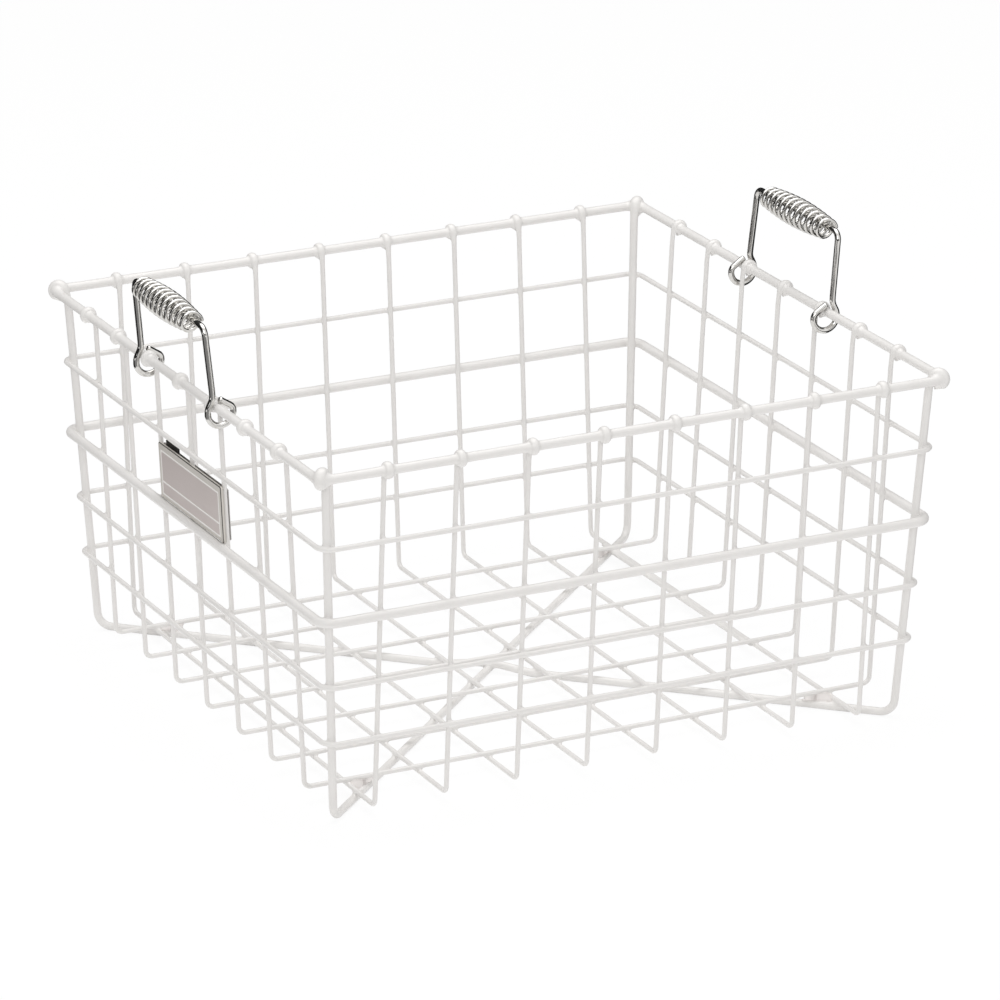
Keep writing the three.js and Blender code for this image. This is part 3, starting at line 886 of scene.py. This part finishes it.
hooks = []
for node, wire in coated.items():
    if node.startswith("long_wire"):
        hooks += [(sign * RIM_X, wire.centre[0, 1], RIM_Z) for sign in (-1, 1)]
    if node.startswith("cross_wire"):
        hooks += [(wire.centre[0, 0], sign * RIM_Y, RIM_Z) for sign in (-1, 1)]
rim = coated["rim_wire"]
pooled(rim, hooks, HOOK_POOL, HOOK_POOL_RUN)
corners = [(sign_x * RIM_X, sign_y * RIM_Y, RIM_Z) for sign_x in (-1, 1) for sign_y in (-1, 1)]
caps = [rim.centre[np.linalg.norm(rim.centre - corner, axis=1).argmin()] for corner in corners]
pooled(rim, caps, CAP_POOL, CAP_POOL_RUN)

for count, (node, wire) in enumerate(coated.items()):
    direction, reach = wire.skin(COAT_SIDES)
    reach, close = coated_reach(wire, coated.values(), direction, reach)
    tip = rounded_end(wire, wire.half_thick.min())
    reach = reach * (uneven(wire, COAT_SWELL, count) * np.maximum(tip, COAT_TIP))[:, None]
    piece = tube(f"{node}_coat", wire, direction, reach, wire.thin(close), COAT)
    dress(piece, "basket", node)

for sign_x, sign_y, node in (
    (-1, -1, "corner_frame_lower"), (1, 1, "corner_frame_lower"),
    (-1, 1, "corner_frame_upper"), (1, -1, "corner_frame_upper"),
):
    ends = ("left" if sign_x < 0 else "right") + ("_front" if sign_y < 0 else "_back")
    points, faces = film(sign_x, sign_y)
    dress(solid(f"floor_film_{ends}", points, faces, FILM_PAINTED_LIGHT), "basket", node)

for side in ("left", "right"):
    for node, body, wire in (
        (f"bail_handle_{side}", f"bail_{side}", bail(f"bail_handle_{side}")),
        (f"coil_grip_{side}", f"grip_{side}", coil(f"coil_grip_{side}")),
    ):
        direction, reach = wire.skin(STEEL_SIDES)
        reach = reach * np.maximum(rounded_end(wire, CUT_ROUND), CUT_TIP)[:, None]
        keep = wire.thin(np.zeros(len(wire.along), bool))
        dress(tube(f"{node}_steel", wire, direction, reach, keep, BRIGHT), body, node)


# Nameplate

def on_wall(node, out, across, up):
    """Points by their distance out, across and up from the middle of a sheet on the left wall."""
    low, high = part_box(node)
    middle = (np.array(low) + np.array(high)) / 2
    outward = np.array([-math.cos(LEAN), 0, -math.sin(LEAN)])
    upward = np.array([-math.sin(LEAN), 0, math.cos(LEAN)])
    sideways = np.array([0, -1, 0])
    place = np.multiply.outer(out, outward) + np.multiply.outer(across, sideways)
    return middle + place + np.multiply.outer(up, upward)


def round_corners(half_across, half_up, bend):
    angles = np.linspace(0, math.pi / 2, CORNER_POINTS)
    outline = []
    for quarter, (sign_a, sign_u) in enumerate(((1, 1), (-1, 1), (-1, -1), (1, -1))):
        turn = angles + quarter * math.pi / 2
        across = sign_a * (half_across - bend) + bend * np.cos(turn)
        up = sign_u * (half_up - bend) + bend * np.sin(turn)
        outline.append(np.column_stack([across, up]))
    return np.concatenate(outline)


def sheet(node, thickness, bend, edge_break, finish, slot):
    """A sheet with round corners and broken edges, as large as the node's box."""
    low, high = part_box(node)
    half_across = (high.y - low.y) / 2
    half_up = (high.z - low.z - thickness * math.sin(LEAN)) / math.cos(LEAN) / 2
    full = round_corners(half_across, half_up, bend)
    inner = round_corners(half_across - edge_break, half_up - edge_break, bend - edge_break)
    half = thickness / 2
    rings = [(inner, -half), (full, edge_break - half), (full, half - edge_break), (inner, half)]
    points = np.concatenate([
        on_wall(node, np.full(len(outline), out), outline[:, 0], outline[:, 1])
        for outline, out in rings
    ])
    faces = skinned(len(rings), len(full), False)
    piece = solid(f"{node}_sheet", points, faces, finish, smooth=False)
    dress(piece, "basket", node)
    outer_edge = range(2 * len(full), 3 * len(full))  # the faces round the broken front edge
    return piece.data, outer_edge


def ladder(name, node, across, up, windows, out_from, out_to, finish):
    """A raised frame: a grid of cells without its windows, closed on all sides."""
    columns, rows = len(across) - 1, len(up) - 1
    kept = {(i, j) for i in range(columns) for j in range(rows)} - set(windows)
    points = []
    faces = []
    number = {}

    def corner(i, j, out):
        key = (i, j, out)
        if key not in number:
            number[key] = len(points)
            points.append(on_wall(node, out, across[i], up[j]))
        return number[key]

    for i, j in sorted(kept):
        ring = [(i, j), (i + 1, j), (i + 1, j + 1), (i, j + 1)]
        faces.append(tuple(corner(*at, out_to) for at in ring))
        faces.append(tuple(corner(*at, out_from) for at in ring[::-1]))
        beside = [(i, j - 1), (i + 1, j), (i, j + 1), (i - 1, j)]
        for k, cell in enumerate(beside):
            if cell not in kept:
                first, second = ring[k], ring[(k + 1) % 4]
                faces.append((corner(*first, out_from), corner(*first, out_to),
                              corner(*second, out_to), corner(*second, out_from))[::-1])
    dress(solid(name, points, faces, finish, smooth=False), "basket", node)


front, outer_edge = sheet(
    "nameplate_front", FRONT_PLATE, PLATE_CORNER, FRONT_BREAK, PANEL, "stainless")
# painted shade: the broken front edge takes the near-black edge finish, standing in for the shade
# along it
front.materials.append(EDGE_PAINTED_SHADE)
for face in outer_edge:
    front.polygons[face].material_index = 1
sheet("nameplate_back", BACK_PLATE, PLATE_CORNER, EDGE_BREAK, SATIN, "stainless")
sheet("nameplate_strip", STRIP_SHEET, STRIP_CORNER, EDGE_BREAK, BLACK, "blackened")

divider = PLATE_TALL / 2 - DIVIDER_SHARE * PLATE_TALL
ladder(
    "nameplate_front_frame", "nameplate_front", finish=ETCHED,
    across=[-FRAME_SIDE, FRAME_LINE - FRAME_SIDE, FRAME_SIDE - FRAME_LINE, FRAME_SIDE],
    up=[FRAME_FOOT, FRAME_FOOT + FRAME_LINE, divider - FRAME_LINE / 2, divider + FRAME_LINE / 2,
        FRAME_HEAD - FRAME_LINE, FRAME_HEAD],
    windows=[(1, 1), (1, 3)],
    out_from=FRONT_PLATE / 2 - FRAME_RAISE, out_to=FRONT_PLATE / 2 + FRAME_RAISE,
)


# Studio

SEEN_BY = "Camera", "Glossy", "Transmission"  # rays that see the floor and room as white
FLOOR_GLOW = 0.9  # share of plain white in the floor that those rays see
FLOOR_HALF = 6
ROOM_LIGHT = 0.69  # strength of the room's light for other rays
CARD_HEIGHT = 0.002
SCREEN_STEPS = 24

CAMERA_PLACE = -1.77831, -3.57563, 1.57
CAMERA_TURN = math.radians(-26.5898)
CAMERA_TILT = math.radians(90 - 19.8080)
CAMERA_ROLL = math.radians(0.1897)


def lamp(name, place, target, size, power):
    light = bpy.data.lights.new(name, "AREA")
    light.shape = "RECTANGLE"
    light.size, light.size_y = size
    light.energy = power
    made = bpy.data.objects.new(name, light)
    made.location = place
    made.rotation_euler = (Vector(target) - Vector(place)).to_track_quat("-Z", "Y").to_euler()
    bpy.context.scene.collection.objects.link(made)


def seen_as_white(nodes):
    """1 for the rays in SEEN_BY and 0 for all others."""
    rays = sum(nodes.node("ShaderNodeLightPath", output=f"Is {ray} Ray") for ray in SEEN_BY)
    return nodes.node("ShaderNodeMath", {"operation": "MINIMUM"}, {0: rays, 1: 1})


def white_floor():
    mesh = bpy.data.meshes.new("floor")
    signs = [(-1, -1), (1, -1), (1, 1), (-1, 1)]
    corners = [(sx * FLOOR_HALF, sy * FLOOR_HALF, 0) for sx, sy in signs]
    mesh.from_pydata(corners, [], [(0, 1, 2, 3)])
    finish = Finish("white_floor", Base_Color=(0.97, 0.97, 0.97, 1), Roughness=0.9)
    glow = finish.node("ShaderNodeEmission", sockets={"Color": (1, 1, 1, 1), "Strength": 1})
    finish.blend(FLOOR_GLOW * seen_as_white(finish), glow)
    mesh.materials.append(finish.material)
    floor = bpy.data.objects.new("floor", mesh)
    floor.location.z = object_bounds()[0][2]
    bpy.context.scene.collection.objects.link(floor)
    floor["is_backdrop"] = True


def white_room():
    world = bpy.data.worlds.new("room")
    world.use_nodes = True
    room = Nodes(world.node_tree)
    light = room.tree.nodes["Background"]
    room.set(light.inputs["Color"], (1, 0.995, 0.99, 1))
    room.set(light.inputs["Strength"], ROOM_LIGHT)
    white = room.node("ShaderNodeBackground", sockets={"Color": (1, 1, 1, 1), "Strength": 1})
    mixed = room.node("ShaderNodeMixShader", sockets={
        0: seen_as_white(room), 1: Value(room, light.outputs[0]), 2: white})
    room.set(room.tree.nodes["World Output"].inputs["Surface"], mixed)
    bpy.context.scene.world = world


def card(name, corners, finish):
    """A sheet in the studio that shows only in the object's gloss."""
    faces = [(k, k + 1, k + 3, k + 2) for k in range(0, len(corners) - 2, 2)]
    sheet = solid(name, corners, faces, finish, smooth=False)
    sheet.visible_camera = sheet.visible_diffuse = sheet.visible_shadow = False
    sheet.visible_transmission = sheet.visible_volume_scatter = False
    sheet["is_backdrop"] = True


def floor_card(name, near, far, finish):
    card(name, [(x, y, CARD_HEIGHT) for pair in zip(near, far) for x, y in pair], finish)


def screen(name, finish, first, last, radius, low, high):
    """A curved standing card between two directions, in degrees from the object's right."""
    turns = np.radians(np.linspace(first, last, SCREEN_STEPS + 1))
    rows = [(radius * math.cos(turn), radius * math.sin(turn)) for turn in turns]
    card(name, [(x, y, z) for x, y in rows for z in (low, high)], finish)


def photo_camera():
    camera = bpy.data.cameras.new("camera")
    camera.sensor_width = 36
    camera.lens = 222.21
    camera.shift_x = -0.00424
    camera.shift_y = -0.00631
    camera.clip_end = 60
    made = bpy.data.objects.new("camera", camera)
    turn = Matrix.Rotation(CAMERA_TURN, 4, "Z")
    tilt = Matrix.Rotation(CAMERA_TILT, 4, "X")
    roll = Matrix.Rotation(CAMERA_ROLL, 4, "Z")
    made.matrix_world = Matrix.Translation(CAMERA_PLACE) @ turn @ tilt @ roll
    bpy.context.scene.collection.objects.link(made)
    bpy.context.scene.camera = made


BLACK_CARD = Finish("black_card", Base_Color=(0.01, 0.01, 0.01, 1), Roughness=0.9).material
GREY_CARD = Finish("grey_card", Base_Color=(0.22, 0.22, 0.22, 1), Roughness=0.9).material

white_floor()
white_room()
photo_camera()
floor_card(
    "card_back", finish=BLACK_CARD,
    near=[(-0.5, -0.05), (-0.5, 0.3), (-0.3, 0.45), (0.3, 0.45), (0.36, 0.3), (0.36, -0.6)],
    far=[(-1.8, -0.05), (-1.8, 1.8), (-0.9, 1.8), (1.2, 1.8), (1.8, 1.2), (1.8, -0.95)],
)
floor_card(
    "card_front", finish=GREY_CARD,
    near=[(-0.5, -0.05), (-0.45, -0.35), (-0.2, -0.5), (0.12, -0.7)],
    far=[(-1.8, -0.05), (-1.8, -1.9), (-0.8, -1.9), (0.2, -1.9)],
)
screen("screen_back", BLACK_CARD, first=-30, last=168, radius=1.7, low=CARD_HEIGHT, high=1.8)
screen("screen_left", BLACK_CARD, first=168, last=200, radius=1.7, low=0.3, high=1.8)
screen("screen_front", GREY_CARD, first=-158, last=-118, radius=1.9, low=CARD_HEIGHT, high=0.22)
screen("screen_low", BLACK_CARD, first=-160, last=-60, radius=1.9, low=0.26, high=0.56)
lamp("top", place=(0.1, 0.3, 2.4), target=(0, 0, 0.1), size=(2.2, 2.2), power=30.5)
lamp("key", place=(-1.6, -2.4, 1.9), target=(0, 0, 0.1), size=(1.4, 1.4), power=14)

scene = bpy.context.scene
scene.view_settings.view_transform = "Standard"
